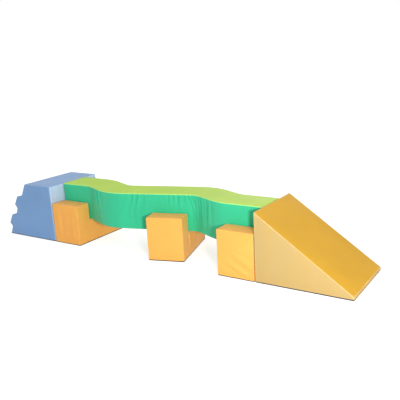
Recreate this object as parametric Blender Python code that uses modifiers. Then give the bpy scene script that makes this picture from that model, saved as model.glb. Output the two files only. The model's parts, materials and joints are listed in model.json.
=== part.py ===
"""A soft play run for small children: a foam climbing block, a wavy beam on three saddles, and a ramp.

Units are metres, +Z is up, and the row runs along X from the climbing block to the ramp's toe. Y = 0 is
the row's middle, and its front is -Y. Each module is a foam core in a zipped cover of coated fabric,
closed underneath by a sole panel. A module is drawn in its own frame and hangs from an empty.
"""

import math

import bmesh
import bpy
from mathutils import Matrix, Vector

# Driving dimensions of the modules
MODULE_DEPTH = 0.58
CLIMBER_LENGTH = 0.595
CLIMBER_TOP_START = 0.27
CLIMBER_TOP_END = 0.588
CLIMBER_HEIGHT = 0.49
SADDLE_LENGTH = 0.29
SADDLE_HEIGHT = 0.345
SADDLE_WALL = 0.145
SADDLE_SEAT = 0.20
RAMP_LENGTH = 0.69
RAMP_HEIGHT = 0.50
RAMP_TOE = 0.024
BEAM_LENGTH = 1.985
BEAM_WIDTH = 0.265
BEAM_HEIGHT = 0.295

# The beam's wave, which is the same from either end: where its middle line bends, and how far it swings
BEND_OUTER = 0.337
BEND_INNER = 0.628
BEND_SWING = 0.106
BEND_RADIUS = 0.25
BEND_STEPS = 6

# How the modules stand
ABUT_GAP = 0.008
ROW_STEP = 0.05
CENTRE_SADDLE_ALONG = 1.107
REST_GAP = 0.0003

# Covers, cores and soles
COVER = 0.0012
CORE_GAP = 0.0005
EDGE_ROUND = 0.010
EDGE_STEPS = 2
LIP = 0.014
SEAM_LIP = 0.008
SEAM_GAP = 0.0004
SOLE = 0.0018
SOLE_PROUD = 0.0006

# Crowns of the stuffed faces: pairs of how far in from the edges, and how much further out
FACE_CROWN = ((0.030, 0.002), (0.030, 0.001))
NARROW_CROWN = ((0.013, 0.002),)
BROAD_AREA = 0.05

# Where the zips are: start and length along the back of a module, and along the beam's underside
ZIP_HEIGHT = 0.045
CLIMBER_ZIP = (0.07, 0.45)
SADDLE_ZIP = (0.035, 0.22)
RAMP_ZIP = (0.04, 0.44)
BEAM_ZIP_PLACE = (0.42, -0.045, 0.0)
BEAM_ZIP_LENGTH = 0.50

# Zips: a tape behind the panel, and two rows of teeth in the panel's slot with a channel between them
ZIP_SLOT = 0.009
TAPE_WIDTH = 0.026
TAPE = 0.0008
TEETH_WIDTH = 0.008
CHANNEL = 0.002
ZIP_END = 0.004
GROOVE_WIDTH = 0.030
GROOVE_DEPTH = 0.0036
CUT_REACH = 0.004

# Sliders: two wings joined by a post in the channel, and a cross pin between two lugs
SLIDER_LENGTH = 0.014
SLIDER_WIDTH = 0.0084
SLIDER_WING = 0.0012
SLIDER_ROUND = 0.0004
SLIDER_REST = 0.016
POST_START = -0.005
POST_END = 0.001
POST_WIDTH = 0.0012
LUG_LENGTH = 0.0032
LUG_INNER = 0.0024
LUG_OUTER = 0.0038
PIN_RADIUS = 0.0008
PIN_LENGTH = 0.0064
HINGE_RISE = 0.0036

# Pulls
PULL_LENGTH = 0.030
PULL_WIDTH = 0.0072
PULL_THICK = 0.0012
NECK_START = 0.0012
NECK_END = 0.0040
NECK_WIDTH = 0.0038
KNUCKLE_RADIUS = 0.0021
BORE_RADIUS = 0.0012
EYE_LENGTH = 0.003
EYE_WIDTH = 0.003

# Places in the row, which is centred on the origin: its length is less what rounding takes off the climbing
# block's foot, and its depth runs from the ramp's crown to the turned centre saddle's far corner
EDGE_LOSS = 0.0036
CROWN_RISE = 0.003
ROW_DEPTH = 0.6675
ROW_LENGTH = CLIMBER_LENGTH + BEAM_LENGTH + RAMP_LENGTH + 2 * ABUT_GAP
ROW_START = -(ROW_LENGTH + EDGE_LOSS) / 2
BEAM_START = ROW_START + CLIMBER_LENGTH + ABUT_GAP
BEAM_END = BEAM_START + BEAM_LENGTH
RIGHT_FRONT = CROWN_RISE - ROW_DEPTH / 2
LEFT_FRONT = RIGHT_FRONT + ROW_STEP
ROW_MIDDLE = (RIGHT_FRONT + LEFT_FRONT + MODULE_DEPTH) / 2

# Colour (linear), roughness and metallic value of each material
FINISHES = {
    "blue_vinyl": ((0.17, 0.33, 0.62), 0.42, 0.0),
    "orange_vinyl": ((0.90, 0.42, 0.08), 0.42, 0.0),
    "yellow_vinyl": ((0.80, 0.46, 0.09), 0.42, 0.0),
    "green_vinyl": ((0.05, 0.52, 0.27), 0.40, 0.0),
    "lime_vinyl": ((0.45, 0.64, 0.13), 0.42, 0.0),
    "sole": ((0.03, 0.03, 0.032), 0.80, 0.0),
    "foam": ((0.72, 0.68, 0.55), 0.95, 0.0),
    "zip_nylon": ((0.05, 0.05, 0.055), 0.55, 0.0),
    "zip_metal": ((0.55, 0.55, 0.56), 0.35, 1.0),
}


def clear_scene():
    for obj in list(bpy.data.objects):
        bpy.data.objects.remove(obj)


def new_collection(name):
    collection = bpy.data.collections.new(name)
    bpy.context.scene.collection.children.link(collection)
    return collection


clear_scene()
PARTS = new_collection("soft_play_foam_climber")
CUTTERS = new_collection("cutters")


def material(slot, name):
    """The piece's own material, in one of the named finishes."""
    colour, roughness, metallic = FINISHES[slot]
    made = bpy.data.materials.new(name)
    made.use_nodes = True
    shader = made.node_tree.nodes["Principled BSDF"]
    shader.inputs["Base Color"].default_value = (*colour, 1.0)
    shader.inputs["Roughness"].default_value = roughness
    shader.inputs["Metallic"].default_value = metallic
    made.diffuse_color = (*colour, 1.0)
    return made


def add_piece(name, mesh, slot, parent):
    """A named piece of the object in its own material."""
    piece = bpy.data.objects.new(name, mesh)
    PARTS.objects.link(piece)
    mesh.materials.clear()
    mesh.materials.append(material(slot, name))
    piece.parent = parent
    return piece


def add_module(name, place, turn=0.0):
    """The empty that a module's pieces hang from."""
    module = bpy.data.objects.new(name, None)
    PARTS.objects.link(module)
    module.location = place
    module.rotation_euler.z = turn
    return module


# Outlines

def heading(start, end):
    return (Vector(end) - Vector(start)).normalized()


def inset_outline(points, inset):
    """The closed outline moved inwards by inset on every side. Its points run counterclockwise."""
    moved = []
    for index, point in enumerate(points):
        arriving = heading(points[index - 1], point)
        leaving = heading(point, points[(index + 1) % len(points)])
        bisector = (arriving + leaving).normalized()
        inward = Vector((-bisector.y, bisector.x))
        moved.append(Vector(point) + inward * inset / bisector.dot(arriving))
    return [tuple(point) for point in moved]


def filleted_line(corners, radius, steps):
    """The open line through the corners, each inner one rounded by an arc of the radius."""
    line = [Vector(corners[0])]
    for before, corner, after in zip(corners, corners[1:], corners[2:]):
        arriving = heading(before, corner)
        leaving = heading(corner, after)
        turn = arriving.angle_signed(leaving) * -1
        reach = radius * math.tan(abs(turn) / 2)
        side = Vector((-arriving.y, arriving.x)) * math.copysign(1.0, turn)
        centre = Vector(corner) - arriving * reach + side * radius
        spoke = -side * radius
        for step in range(steps + 1):
            angle = turn * step / steps
            line.append(centre + Matrix.Rotation(angle, 2) @ spoke)
    line.append(Vector(corners[-1]))
    return line


def ribbon_outline(line, width):
    """The closed outline of a strip of constant width along the line, counterclockwise."""
    right, left = [], []
    for index, point in enumerate(line):
        ways = []
        if index:
            ways.append(heading(line[index - 1], point))
        if index < len(line) - 1:
            ways.append(heading(point, line[index + 1]))
        way = sum(ways, Vector((0.0, 0.0))).normalized()
        reach = width / 2 / way.dot(ways[0])
        across = Vector((-way.y, way.x)) * reach
        right.append(tuple(point - across))
        left.append(tuple(point + across))
    return right + left[::-1]


def rectangle(x_size, y_size):
    return [(0.0, 0.0), (x_size, 0.0), (x_size, y_size), (0.0, y_size)]


# Meshes

SIDE_VIEW = Matrix(((1, 0, 0), (0, 0, -1), (0, 1, 0))).to_4x4()
END_VIEW = Matrix(((0, 0, 1), (1, 0, 0), (0, 1, 0))).to_4x4()
PLAN_VIEW = Matrix.Identity(4)


def outline_mesh(name, outline, thickness, view, start=0.0):
    """A flat outline given its thickness, with one face a side.

    In SIDE_VIEW the outline is in x and z and the block runs along y from start. In END_VIEW it is in y
    and z and runs along x, and in PLAN_VIEW it is in x and y and runs up z.
    """
    curve = bpy.data.curves.new(name, "CURVE")
    curve.dimensions = "2D"
    curve.fill_mode = "BOTH"
    curve.extrude = thickness / 2
    spline = curve.splines.new("POLY")
    spline.points.add(len(outline) - 1)
    for point, (across, up) in zip(spline.points, outline):
        point.co = (across, up, 0.0, 1.0)
    spline.use_cyclic_u = True
    guide = bpy.data.objects.new(name, curve)
    CUTTERS.objects.link(guide)
    graph = bpy.context.evaluated_depsgraph_get()
    mesh = bpy.data.meshes.new_from_object(guide.evaluated_get(graph))
    bpy.data.objects.remove(guide)
    bpy.data.curves.remove(curve)

    way = view.to_3x3() @ Vector((0, 0, 1))
    middle = Vector([abs(value) for value in way]) * (start + thickness / 2)
    mesh.transform(Matrix.Translation(middle) @ view)
    bm = bmesh.new()
    bm.from_mesh(mesh)
    bmesh.ops.remove_doubles(bm, verts=bm.verts, dist=0.00001)
    bmesh.ops.dissolve_limit(bm, angle_limit=math.radians(1), verts=bm.verts, edges=bm.edges)
    bmesh.ops.recalc_face_normals(bm, faces=bm.faces)
    bm.to_mesh(mesh)
    bm.free()
    return mesh


def crown_faces(mesh, chosen, rings, drawn_in=0.0):
    """Raises the middle of each chosen face ring by ring, as stuffing does. A core is drawn_in a little."""
    bm = bmesh.new()
    bm.from_mesh(mesh)
    faces = [face for face in bm.faces if chosen(face)]
    for width, rise in rings:
        bmesh.ops.inset_individual(
            bm, faces=faces, thickness=width - drawn_in, depth=rise, use_even_offset=True
        )
        drawn_in = 0.0
    bm.to_mesh(mesh)
    bm.free()


def open_face(mesh, chosen, lip):
    """Cuts away the middle of the chosen face, leaving a lip along its edges."""
    bm = bmesh.new()
    bm.from_mesh(mesh)
    faces = [face for face in bm.faces if chosen(face)]
    bmesh.ops.inset_individual(bm, faces=faces, thickness=lip, use_even_offset=True)
    bmesh.ops.delete(bm, geom=faces, context="FACES")
    bm.to_mesh(mesh)
    bm.free()


def facing(direction):
    """A choice of the flat faces that look in the direction."""
    way = Vector(direction).normalized()
    return lambda face: face.normal.dot(way) > 0.999


def round_edges(piece, radius, steps=EDGE_STEPS):
    bevel = piece.modifiers.new("rounded_edges", "BEVEL")
    bevel.width = radius
    bevel.segments = steps
    bevel.limit_method = "ANGLE"
    bevel.angle_limit = math.radians(30)


def make_shell(piece, thickness):
    """Gives the open skin its thickness, inwards."""
    shell = piece.modifiers.new("cover_thickness", "SOLIDIFY")
    shell.thickness = thickness
    shell.offset = -1.0
    shell.use_even_offset = True


# Cutting and joining

def box(name, low, high, parent):
    """A helper box between two corners, in the parent's frame."""
    low, high = Vector(low), Vector(high)
    mesh = bpy.data.meshes.new(name)
    bm = bmesh.new()
    size = Matrix.Diagonal((*(high - low), 1.0))
    bmesh.ops.create_cube(bm, size=1.0, matrix=Matrix.Translation((low + high) / 2) @ size)
    bm.to_mesh(mesh)
    bm.free()
    return add_helper(name, mesh, parent)


def rod(name, radius, length, centre, parent, sides=12):
    """A helper cylinder along z in the parent's frame."""
    mesh = bpy.data.meshes.new(name)
    bm = bmesh.new()
    bmesh.ops.create_cone(
        bm, cap_ends=True, segments=sides, radius1=radius, radius2=radius, depth=length,
        matrix=Matrix.Translation(centre),
    )
    bm.to_mesh(mesh)
    bm.free()
    return add_helper(name, mesh, parent)


def add_helper(name, mesh, parent):
    helper = bpy.data.objects.new(name, mesh)
    CUTTERS.objects.link(helper)
    helper.parent = parent
    helper.hide_render = True
    helper.display_type = "WIRE"
    return helper


def combine(piece, helper, operation):
    boolean = piece.modifiers.new(helper.name, "BOOLEAN")
    boolean.operation = operation
    boolean.object = helper
    boolean.solver = "EXACT"


# Modules

def add_core(name, outline, depth, view, crowns, parent):
    """The foam block inside a cover, a little smaller all round."""
    inset = COVER + CORE_GAP
    mesh = outline_mesh(name, inset_outline(outline, inset), depth - 2 * inset, view, start=inset)
    for chosen, rings in crowns:
        crown_faces(mesh, chosen, rings, drawn_in=inset)
    core = add_piece(name, mesh, "foam", parent)
    round_edges(core, EDGE_ROUND - inset)
    return core


def add_cover(name, outline, depth, view, crowns, slot, parent):
    """A sewn cover that wraps under the block's lower edges and is open inside that lip."""
    mesh = outline_mesh(name, outline, depth, view)
    for chosen, rings in crowns:
        crown_faces(mesh, chosen, rings)
    open_face(mesh, facing((0, 0, -1)), LIP)
    cover = add_piece(name, mesh, slot, parent)
    round_edges(cover, EDGE_ROUND)
    make_shell(cover, COVER)
    return cover


def add_sole(name, outline, parent, slot="sole"):
    """The flat panel that closes a cover underneath and stands on the floor."""
    inside = inset_outline(outline, LIP + SEAM_GAP)
    return add_piece(name, outline_mesh(name, inside, SOLE, PLAN_VIEW), slot, parent)


def broad_face(*directions):
    """A choice of the broad faces that look in one of the directions."""
    choices = [facing(direction) for direction in directions]
    return lambda face: face.calc_area() > BROAD_AREA and any(choice(face) for choice in choices)


# Climbing block

def climber_outline():
    """The block's side view: an upright back, a flat top, and a sloping face with two moulded holds.

    Each hold is a lip with an undercut below it and a tread above it.
    """
    floor = SOLE_PROUD
    lower_hold = [(0.031, 0.075), (0.0, 0.102), (0.047, 0.188), (0.111, 0.203)]
    upper_hold = [(0.130, 0.256), (0.104, 0.290), (0.147, 0.367), (0.213, 0.380)]
    sloping_face = [*lower_hold, *upper_hold, (CLIMBER_TOP_START, CLIMBER_HEIGHT)]
    upright_face = [(CLIMBER_LENGTH, floor), (CLIMBER_TOP_END, CLIMBER_HEIGHT)]
    return [(0.0, floor), *upright_face, *sloping_face[::-1]]


def add_climber(module):
    outline = climber_outline()
    back_lean = (CLIMBER_HEIGHT, 0, CLIMBER_LENGTH - CLIMBER_TOP_END)
    crowns = (
        (facing((0, -1, 0)), NARROW_CROWN),
        (broad_face((0, 0, 1), back_lean), FACE_CROWN),
    )
    core = add_core("climber_core", outline, MODULE_DEPTH, SIDE_VIEW, crowns, module)
    cover = add_cover("climber_cover", outline, MODULE_DEPTH, SIDE_VIEW, crowns, "blue_vinyl",
                      module)
    add_sole("climber_sole", rectangle(CLIMBER_LENGTH, MODULE_DEPTH), module)
    add_back_zip("climber", CLIMBER_ZIP, cover, core, module)


# Saddles

def saddle_outline():
    """The saddle's end view: a low seat for the beam between two walls."""
    inner_near, inner_far = SADDLE_WALL, MODULE_DEPTH - SADDLE_WALL
    return [
        (0.0, SOLE_PROUD), (MODULE_DEPTH, SOLE_PROUD),
        (MODULE_DEPTH, SADDLE_HEIGHT), (inner_far, SADDLE_HEIGHT),
        (inner_far, SADDLE_SEAT), (inner_near, SADDLE_SEAT),
        (inner_near, SADDLE_HEIGHT), (0.0, SADDLE_HEIGHT),
    ]


def add_saddle(name, module):
    outline = saddle_outline()
    is_end_or_front = broad_face((0, -1, 0), (1, 0, 0), (-1, 0, 0))
    crowns = ((is_end_or_front, FACE_CROWN),)
    core = add_core(f"{name}_core", outline, SADDLE_LENGTH, END_VIEW, crowns, module)
    cover = add_cover(f"{name}_cover", outline, SADDLE_LENGTH, END_VIEW, crowns, "orange_vinyl",
                      module)
    add_sole(f"{name}_sole", rectangle(SADDLE_LENGTH, MODULE_DEPTH), module)
    add_back_zip(name, SADDLE_ZIP, cover, core, module)


# Ramp

def add_ramp(module):
    outline = [
        (0.0, SOLE_PROUD), (RAMP_LENGTH, SOLE_PROUD), (RAMP_LENGTH, RAMP_TOE), (0.0, RAMP_HEIGHT),
    ]
    slope = (RAMP_HEIGHT - RAMP_TOE, 0, RAMP_LENGTH)
    crowns = (
        (facing((0, -1, 0)), NARROW_CROWN),
        (broad_face((-1, 0, 0), slope), FACE_CROWN),
    )
    core = add_core("ramp_core", outline, MODULE_DEPTH, SIDE_VIEW, crowns, module)
    cover = add_cover("ramp_cover", outline, MODULE_DEPTH, SIDE_VIEW, crowns, "yellow_vinyl", module)
    add_sole("ramp_sole", rectangle(RAMP_LENGTH, MODULE_DEPTH), module)
    add_back_zip("ramp", RAMP_ZIP, cover, core, module)


# Wavy beam

def beam_middle_corners():
    """The corners of the beam's middle line, in its own frame: x from its left end, y across the row."""
    offset = ROW_STEP / 2
    first_half = [(0.0, offset), (BEND_OUTER, offset), (BEND_INNER, -BEND_SWING)]
    second_half = [(BEAM_LENGTH - along, -across) for along, across in reversed(first_half)]
    return first_half + second_half


def beam_outline():
    line = filleted_line(beam_middle_corners(), BEND_RADIUS, BEND_STEPS)
    return ribbon_outline(line, BEAM_WIDTH)


def add_beam(module):
    outline = beam_outline()
    height = BEAM_HEIGHT - SOLE_PROUD
    inset = COVER + CORE_GAP
    up, down = facing((0, 0, 1)), facing((0, 0, -1))

    mesh = outline_mesh("beam_core", inset_outline(outline, inset), height - 2 * inset, PLAN_VIEW,
                        start=SOLE_PROUD + inset)
    crown_faces(mesh, up, FACE_CROWN, drawn_in=inset)
    core = add_piece("beam_core", mesh, "foam", module)
    round_edges(core, EDGE_ROUND - inset)

    mesh = outline_mesh("beam_side_cover", outline, height, PLAN_VIEW, start=SOLE_PROUD)
    open_face(mesh, up, SEAM_LIP)
    open_face(mesh, down, LIP)
    sides = add_piece("beam_side_cover", mesh, "green_vinyl", module)
    round_edges(sides, EDGE_ROUND * 0.7)
    make_shell(sides, COVER)

    seam = SEAM_LIP + SEAM_GAP
    mesh = outline_mesh("beam_top_panel", inset_outline(outline, seam), COVER, PLAN_VIEW,
                        start=BEAM_HEIGHT - COVER)
    bm = bmesh.new()
    bm.from_mesh(mesh)
    bmesh.ops.delete(bm, geom=[face for face in bm.faces if not up(face)], context="FACES")
    bm.to_mesh(mesh)
    bm.free()
    crown_faces(mesh, up, FACE_CROWN, drawn_in=seam)
    top = add_piece("beam_top_panel", mesh, "lime_vinyl", module)
    make_shell(top, COVER)

    sole = add_sole("beam_underside", outline, module, slot="green_vinyl")
    add_zip("beam", BEAM_ZIP_PLACE, BEAM_ZIP_LENGTH, sole, core, module, underneath=True)


# Zips

def add_back_zip(name, span, cover, core, module):
    """A zip low on the module's back, over the span of (start, length)."""
    start, length = span
    add_zip(name, (start, MODULE_DEPTH, ZIP_HEIGHT), length, cover, core, module)


def add_zip(name, place, length, cover, core, module, underneath=False):
    """A zip along x from place, which is on the outer face of the panel that it closes.

    In the zip's own frame x runs along it, y points out of the panel and z lies across it. On the back of
    a module that is the module's frame, and underneath, the frame is tipped until y points down.
    """
    frame = bpy.data.objects.new(f"{name}_zip_frame", None)
    PARTS.objects.link(frame)
    frame.parent = module
    frame.location = place
    if underneath:
        frame.rotation_euler.x = math.radians(-90)

    panel = SOLE if underneath else COVER
    slot = box(f"{name}_zip_slot", (ZIP_END / 2, -CUT_REACH, -ZIP_SLOT / 2),
               (length - ZIP_END / 2, CUT_REACH, ZIP_SLOT / 2), frame)
    combine(cover, slot, "DIFFERENCE")
    behind = -(panel + REST_GAP)
    groove_floor = behind - GROOVE_DEPTH
    groove = box(f"{name}_zip_groove", (-ZIP_END, groove_floor, -GROOVE_WIDTH / 2),
                 (length + ZIP_END, CUT_REACH, GROOVE_WIDTH / 2), frame)
    combine(core, groove, "DIFFERENCE")

    tape_mesh = outline_mesh(f"{name}_zip", rectangle(length, TAPE_WIDTH), TAPE, PLAN_VIEW)
    to_panel = Matrix.Rotation(math.radians(-90), 4, "X")
    tape_mesh.transform(Matrix.Translation((0, behind - TAPE, TAPE_WIDTH / 2)) @ to_panel)
    tape = add_piece(f"{name}_zip", tape_mesh, "zip_nylon", frame)
    teeth = box(f"{name}_zip_teeth", (ZIP_END, behind - TAPE / 2, -TEETH_WIDTH / 2),
                (length - ZIP_END, -REST_GAP, TEETH_WIDTH / 2), frame)
    combine(tape, teeth, "UNION")
    channel = box(f"{name}_zip_channel", (2 * ZIP_END, behind - 2 * TAPE, -CHANNEL / 2),
                  (length - 2 * ZIP_END, CUT_REACH, CHANNEL / 2), frame)
    combine(tape, channel, "DIFFERENCE")

    slider = add_slider(name, behind - TAPE, frame)
    slider.location.x = SLIDER_REST
    add_pull(name, slider, hanging=underneath)


def add_slider(name, tape_back, frame):
    """The slider: a wing each side of the tape, a post in the channel, and a cross pin for the pull."""
    half, wide = SLIDER_LENGTH / 2, SLIDER_WIDTH / 2
    inner_top = tape_back - REST_GAP
    wing = bpy.data.meshes.new(f"{name}_zip_slider")
    bm = bmesh.new()
    size = Matrix.Diagonal((SLIDER_LENGTH, SLIDER_WING, SLIDER_WIDTH, 1.0))
    bmesh.ops.create_cube(bm, size=1.0, matrix=Matrix.Translation((0, SLIDER_WING / 2, 0)) @ size)
    bm.to_mesh(wing)
    bm.free()
    slider = add_piece(f"{name}_zip_slider", wing, "zip_metal", frame)
    slider.location.y = REST_GAP
    bevel = slider.modifiers.new("rounded_edges", "BEVEL")
    bevel.width = SLIDER_ROUND
    bevel.segments = 1

    parts = [
        box(f"{name}_inner_wing", (-half, inner_top - SLIDER_WING, -wide), (half, inner_top, wide),
            slider),
        box(f"{name}_post", (POST_START, inner_top - SLIDER_WING / 2, -POST_WIDTH / 2),
            (POST_END, SLIDER_WING / 2, POST_WIDTH / 2), slider),
    ]
    lug = LUG_LENGTH / 2
    for side in (-1, 1):
        near, far = sorted((side * LUG_INNER, side * LUG_OUTER))
        low, high = (-lug, SLIDER_WING / 2, near), (lug, HINGE_RISE + lug, far)
        parts.append(box(f"{name}_lug", low, high, slider))
    parts.append(rod(f"{name}_pin", PIN_RADIUS, PIN_LENGTH, (0, HINGE_RISE, 0), slider))
    for part in parts:
        combine(slider, part, "UNION")
    return slider


def add_pull(name, slider, hanging):
    """The pull tab, on the slider's cross pin: a knuckle, a narrow neck and a rounded blade."""
    half, neck = PULL_WIDTH / 2, NECK_WIDTH / 2
    end = PULL_LENGTH - half
    tip = [(end + half * math.sin(math.radians(angle)), -half * math.cos(math.radians(angle)))
           for angle in range(0, 181, 30)]
    one_side = [(NECK_START, -neck), (NECK_END, -neck), (NECK_END, -half)]
    other_side = [(along, -across) for along, across in reversed(one_side)]
    outline = [*one_side, *tip, *other_side]
    mesh = outline_mesh(f"{name}_zip_pull", outline, PULL_THICK, SIDE_VIEW, start=-PULL_THICK / 2)
    pull = add_piece(f"{name}_zip_pull", mesh, "zip_metal", slider)
    pull.location.y = HINGE_RISE
    if hanging:
        pull.rotation_euler.z = math.radians(90)
    knuckle = rod(f"{name}_knuckle", KNUCKLE_RADIUS, NECK_WIDTH, (0, 0, 0), pull)
    combine(pull, knuckle, "UNION")
    bore = rod(f"{name}_bore", BORE_RADIUS, 2 * NECK_WIDTH, (0, 0, 0), pull)
    combine(pull, bore, "DIFFERENCE")
    eye = box(f"{name}_eye", (end - EYE_LENGTH, -PULL_THICK, -EYE_WIDTH / 2),
              (end, PULL_THICK, EYE_WIDTH / 2), pull)
    combine(pull, eye, "DIFFERENCE")


def centre_saddle_place():
    """The centre saddle's place and turn: it follows the straight stretch between the inner bends."""
    corners = beam_middle_corners()
    start, end = Vector(corners[2]), Vector(corners[3])
    way = (end - start).normalized()
    turn = math.atan2(way.y, way.x)
    middle = start + way * (CENTRE_SADDLE_ALONG - start.x) / way.x
    to_corner = Matrix.Rotation(turn, 2) @ Vector((SADDLE_LENGTH / 2, MODULE_DEPTH / 2))
    corner = middle - to_corner
    return (BEAM_START + corner.x, ROW_MIDDLE + corner.y, 0.0), turn


def shade():
    for piece in PARTS.objects:
        if piece.type == "MESH":
            piece.data.shade_smooth()
            piece.data.set_sharp_from_angle(angle=math.radians(35))


add_climber(add_module("climber", (ROW_START, LEFT_FRONT, 0.0)))
add_saddle("saddle_left", add_module("saddle_left", (BEAM_START, LEFT_FRONT, 0.0)))
centre_place, centre_turn = centre_saddle_place()
add_saddle("saddle_centre", add_module("saddle_centre", centre_place, centre_turn))
add_saddle("saddle_right", add_module("saddle_right", (BEAM_END - SADDLE_LENGTH, RIGHT_FRONT, 0.0)))
add_beam(add_module("beam", (BEAM_START, ROW_MIDDLE, SADDLE_SEAT + REST_GAP)))
add_ramp(add_module("ramp", (BEAM_END + ABUT_GAP, RIGHT_FRONT, 0.0)))
shade()
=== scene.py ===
"""The looks of a soft play run for small children: a climbing block, a wavy beam on three saddles, a ramp.

Every module is a foam block in a sewn cover of coated fabric, with a zip on a hidden side and a dark
non-slip sole. A cover starts as a block of flat panels, gets its slack and wrinkles from a cloth simulation
over the foam, and then its seams and creases. Units are metres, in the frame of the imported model.
"""

import json
import math

import bmesh
import bpy
import numpy as np
from mathutils import Matrix, Vector


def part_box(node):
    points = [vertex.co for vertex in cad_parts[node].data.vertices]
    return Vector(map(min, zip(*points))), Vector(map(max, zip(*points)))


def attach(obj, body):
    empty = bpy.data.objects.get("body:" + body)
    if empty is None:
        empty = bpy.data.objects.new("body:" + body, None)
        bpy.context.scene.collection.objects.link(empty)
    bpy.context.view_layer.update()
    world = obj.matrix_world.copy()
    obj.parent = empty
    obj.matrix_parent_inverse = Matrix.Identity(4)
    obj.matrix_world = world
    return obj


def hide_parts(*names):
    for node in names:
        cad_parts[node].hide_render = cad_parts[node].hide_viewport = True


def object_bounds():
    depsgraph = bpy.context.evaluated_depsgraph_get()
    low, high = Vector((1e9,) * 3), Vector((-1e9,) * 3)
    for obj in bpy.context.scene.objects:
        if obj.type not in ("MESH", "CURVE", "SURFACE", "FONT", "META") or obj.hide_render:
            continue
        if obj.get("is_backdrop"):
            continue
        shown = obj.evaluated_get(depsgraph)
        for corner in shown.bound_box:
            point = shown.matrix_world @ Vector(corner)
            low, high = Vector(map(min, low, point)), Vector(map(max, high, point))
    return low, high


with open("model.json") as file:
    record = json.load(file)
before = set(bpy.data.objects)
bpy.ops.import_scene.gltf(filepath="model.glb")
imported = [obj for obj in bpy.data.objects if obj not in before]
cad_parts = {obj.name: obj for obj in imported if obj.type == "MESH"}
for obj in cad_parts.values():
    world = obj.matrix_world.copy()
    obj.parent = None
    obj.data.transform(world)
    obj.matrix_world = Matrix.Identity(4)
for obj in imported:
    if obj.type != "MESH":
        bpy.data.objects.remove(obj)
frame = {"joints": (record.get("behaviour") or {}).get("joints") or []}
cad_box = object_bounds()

# Camera: lengths in pixels of the picture, angles in degrees
PICTURE_SIZE = 400
FOCAL_LENGTH = 563.5
SENSOR_WIDTH = 36.0
CAMERA_PLACE = (2.656, -3.516, 1.527)
CAMERA_AZIMUTH = 33.67
CAMERA_PITCH = 14.41
CAMERA_ROLL = -3.05

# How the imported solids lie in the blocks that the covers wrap
SOLE_INSET = 0.0144
SOLE_THICKNESS = 0.0018
FLOOR_GAP = 0.0006
SLIDER_REST = 0.016
HINGE_RISE = 0.0036
REST_GAP = 0.0003

# Sizes of the modules
MODULE_DEPTH = 0.58
CLIMBER_LENGTH = 0.595
CLIMBER_HEIGHT = 0.49
CLIMBER_TOP_END = 0.588
CLIMBING_FACE = (
    (0.0, FLOOR_GAP), (0.031, 0.075), (0.0, 0.102), (0.047, 0.188), (0.111, 0.203),
    (0.130, 0.256), (0.104, 0.290), (0.147, 0.367), (0.213, 0.380), (0.27, CLIMBER_HEIGHT),
)
SADDLE_LENGTH = 0.29
SADDLE_HEIGHT = 0.345
SADDLE_WALL = 0.145
SADDLE_SEAT = 0.20
RAMP_LENGTH = 0.69
RAMP_HEIGHT = 0.50
RAMP_TOE = 0.024
BEAM_LENGTH = 1.985
BEAM_WIDTH = 0.265
BEAM_HEIGHT = 0.295
BEAM_STEP = 0.05
UNDERSIDE_POINTS = 140
BEAM_SAMPLES = 400
BEND_OUTER = 0.337
BEND_INNER = 0.628
BEND_SWING = 0.106
BEND_RADIUS = 0.25

# Covers: how they are cut up, and how far stuffing and wrinkles may move them
COVER = 0.0012
LIP = 0.014
FINE_LINES = (0.003, 0.008, LIP)
NARROW_FINE_LINES = (0.003, 0.008)
CELL = 0.014
WIDE_CELL = 0.018
LEAST_CELL = 0.002
CUT_TOLERANCE = 1e-6
WELD_TOLERANCE = 1e-5
NEAR_ZERO = 1e-9
FLAT_ENOUGH = 0.9
FOAM_GAP = 0.0025
MOST_SWELL = 0.003
MOST_MOVE = 0.007
HOLD_REACH = 0.022
HOLD_CLEAR = 0.25
SEAM_HOLD = 0.30
SEAM_HOLD_REACH = 0.045

# The simulation: its fabric, and how it is run
SETTLING_STEPS = 20
SETTLING_QUALITY = 5
SETTLING_GAP = 0.001
SETTLING_JITTER = 0.0002
FABRIC_WEIGHT = 0.3
FABRIC_STRETCH = 30
FABRIC_SHEAR = 10
FABRIC_BEND = 2.0
FOAM_FRICTION = 5
COVER_PRESSURE = 2.0

# How slack each cover is on its foam, and the seeds of their wrinkles
CLIMBER_SLACK = 0.006
RAMP_SLACK = 0.005
SADDLE_SLACK = 0.010
BEAM_SLACK = 0.012
CLIMBER_SEED = 3
RAMP_SEED = 5
BEAM_SEED = 8

# Creases in millimetres: upper end (across and up), lower end, height (below 0 for a valley) and width
PER_METRE = 1000
BEAM_CREASES = (
    (430, 290, 444, 30, 4.0, 8), (449, 290, 462, 50, -5.0, 7), (466, 292, 480, 60, -8.0, 8),
    (488, 290, 505, 40, 6.0, 8), (835, 290, 776, 80, -5.0, 11), (857, 292, 846, 170, 8.0, 7),
    (905, 292, 858, 80, 6.5, 10), (942, 290, 900, 100, -5.0, 10), (1153, 292, 1142, 190, 6.0, 6),
    (1190, 292, 1182, 210, 6.0, 6), (1227, 292, 1222, 170, 8.5, 7), (1258, 290, 1262, 150, -5.0, 8),
    (1298, 292, 1350, 130, 8.0, 8), (1372, 290, 1388, 80, -6.0, 10), (1434, 290, 1426, 30, 5.0, 11),
    (1480, 290, 1472, 20, -8.0, 9), (1520, 290, 1503, 20, 5.0, 12),
)
LEFT_FRONT_CREASES = (
    (50, 330, 58, 40, 2.2, 13), (105, 330, 100, 60, -1.8, 12), (230, 250, 215, 20, 1.8, 14),
)
RIGHT_FRONT_CREASES = (
    (105, 185, 285, 105, 2.6, 11), (85, 150, 270, 60, -3.0, 10), (75, 110, 245, 20, 2.6, 10),
    (160, 110, 285, 45, -2.2, 9),
)
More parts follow.
